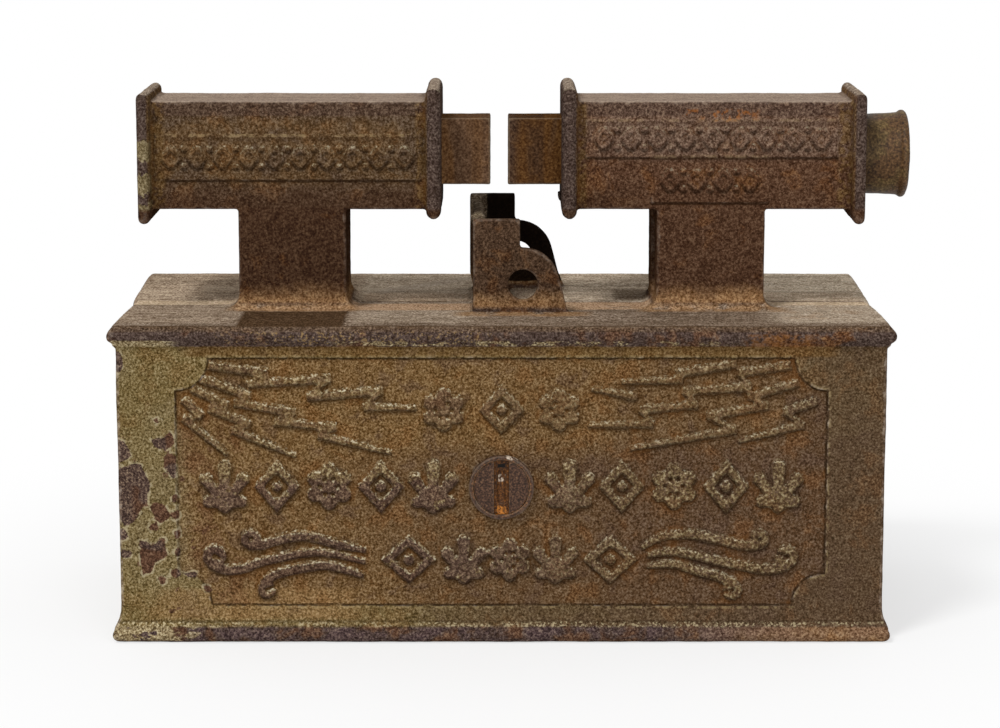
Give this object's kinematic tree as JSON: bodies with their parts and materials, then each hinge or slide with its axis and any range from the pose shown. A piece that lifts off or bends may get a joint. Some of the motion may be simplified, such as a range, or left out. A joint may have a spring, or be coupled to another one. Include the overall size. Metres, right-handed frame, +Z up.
{
  "type": "cast iron mechanical bank",
  "caption": "Long cast iron coin bank with a sight tube on two posts, a coin bracket, a lock and a hinged base plate.",
  "frame": {"origin": "middle of the base's underside, on the seam between the front and rear halves", "axes": "+X to the right along the tube, towards the eyepiece; +Y to the back; +Z up"},
  "size_m": [0.1972, 0.089, 0.1335],
  "materials": {
    "bronzed_iron": "worn bronze paint over rusty cast iron",
    "rusty_iron": "dark brown rusty cast iron",
    "olive_brass": "old bronze paint over iron",
    "dark_lock": "dark worn iron",
    "tinplate": "dull tinplate",
    "mirror_glass": "silvered glass",
    "screw_steel": "darkened steel"
  },
  "bodies": {
    "bank": {"front_casting": "bronzed_iron", "rear_casting": "rusty_iron", "sight_sleeve_left": "rusty_iron", "sight_sleeve_right": "rusty_iron", "eyepiece": "olive_brass", "upper_left_mirror": "mirror_glass", "upper_right_mirror": "mirror_glass", "lower_left_mirror": "mirror_glass", "lower_right_mirror": "mirror_glass", "light_duct": "tinplate", "duct_cover": "tinplate", "duct_screws": "screw_steel", "coin_chute": "tinplate", "chute_screws": "screw_steel", "case_screws": "screw_steel", "tube_screws": "screw_steel", "lock_barrel": "dark_lock", "lock_nut": "screw_steel", "hinge_pins": "screw_steel"},
    "lock": {"lock_plug": "dark_lock", "lock_cam": "screw_steel", "cam_screw": "screw_steel"},
    "base_door": {"base_plate": "rusty_iron", "hasp": "screw_steel", "hasp_rivets": "screw_steel"}
  },
  "joints": [
    {"name": "lock_turn", "type": "hinge", "parent": "bank", "child": "lock", "pos_m": [0, -0.03, 0.0388], "axis": [0, -1, 0], "range_deg": [0, 90]},
    {"name": "base_swing", "type": "hinge", "parent": "bank", "child": "base_door", "pos_m": [0, 0.0362, 0.003], "axis": [1, 0, 0], "range_deg": [0, 80]}
  ]
}
